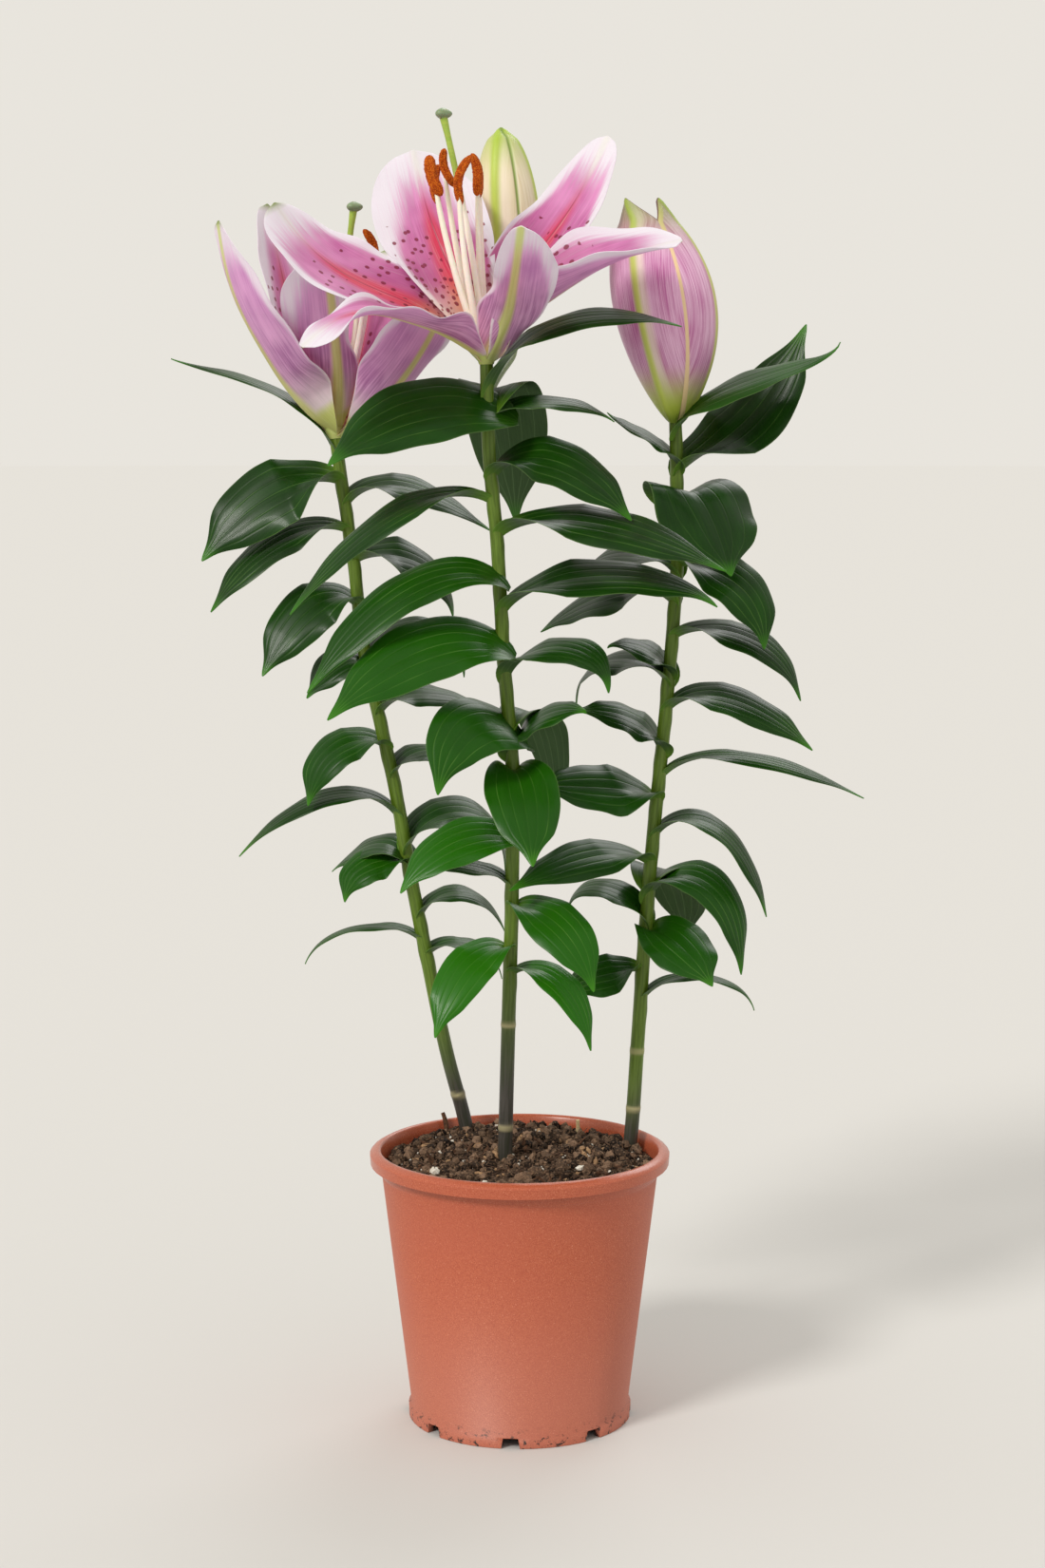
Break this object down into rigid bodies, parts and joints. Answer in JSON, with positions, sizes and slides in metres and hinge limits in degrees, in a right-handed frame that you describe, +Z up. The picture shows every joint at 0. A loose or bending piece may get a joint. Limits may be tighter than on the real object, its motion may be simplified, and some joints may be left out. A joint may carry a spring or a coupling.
{
  "type": "potted stargazer lily",
  "caption": "Potted lily with tall leafy stems, an open spotted bloom, a half-open bloom and closed buds, in a round tapered plastic pot of compost.",
  "frame": {"origin": "on the floor under the middle of the pot", "axes": "+Z up the stems, -Y towards the front of the blooms, +X to the right seen from the front"},
  "size_m": [0.3735, 0.2101, 0.69],
  "materials": {
    "pot": "moulded plastic, terracotta colour, matte with faint speckle",
    "soil": "moist peat compost, rough",
    "leaf_green": "waxy leaf, semi-gloss",
    "tepal_pink": "petal, satin",
    "pistil_green": "smooth plant flesh, satin",
    "pollen": "powdery pollen, matte",
    "green_bud": "petal, satin",
    "pink_bud": "petal, satin"
  },
  "bodies": {
    "root": {"pot": "pot", "soil": "soil", "centre_leafy_stem": "leaf_green", "left_leafy_stem": "leaf_green", "right_leafy_stem": "leaf_green", "centre_bloom_tepals": "tepal_pink", "left_bloom_tepals": "tepal_pink", "centre_bloom_pistil": "pistil_green", "left_bloom_pistil": "pistil_green", "centre_bloom_anther_1": "pollen", "centre_bloom_anther_2": "pollen", "centre_bloom_anther_3": "pollen", "centre_bloom_anther_4": "pollen", "centre_bloom_anther_5": "pollen", "centre_bloom_anther_6": "pollen", "left_bloom_anther_1": "pollen", "left_bloom_anther_2": "pollen", "left_bloom_anther_3": "pollen", "left_bloom_anther_4": "pollen", "left_bloom_anther_5": "pollen", "left_bloom_anther_6": "pollen", "green_bud": "green_bud", "pink_bud": "pink_bud"}
  },
  "joints": []
}
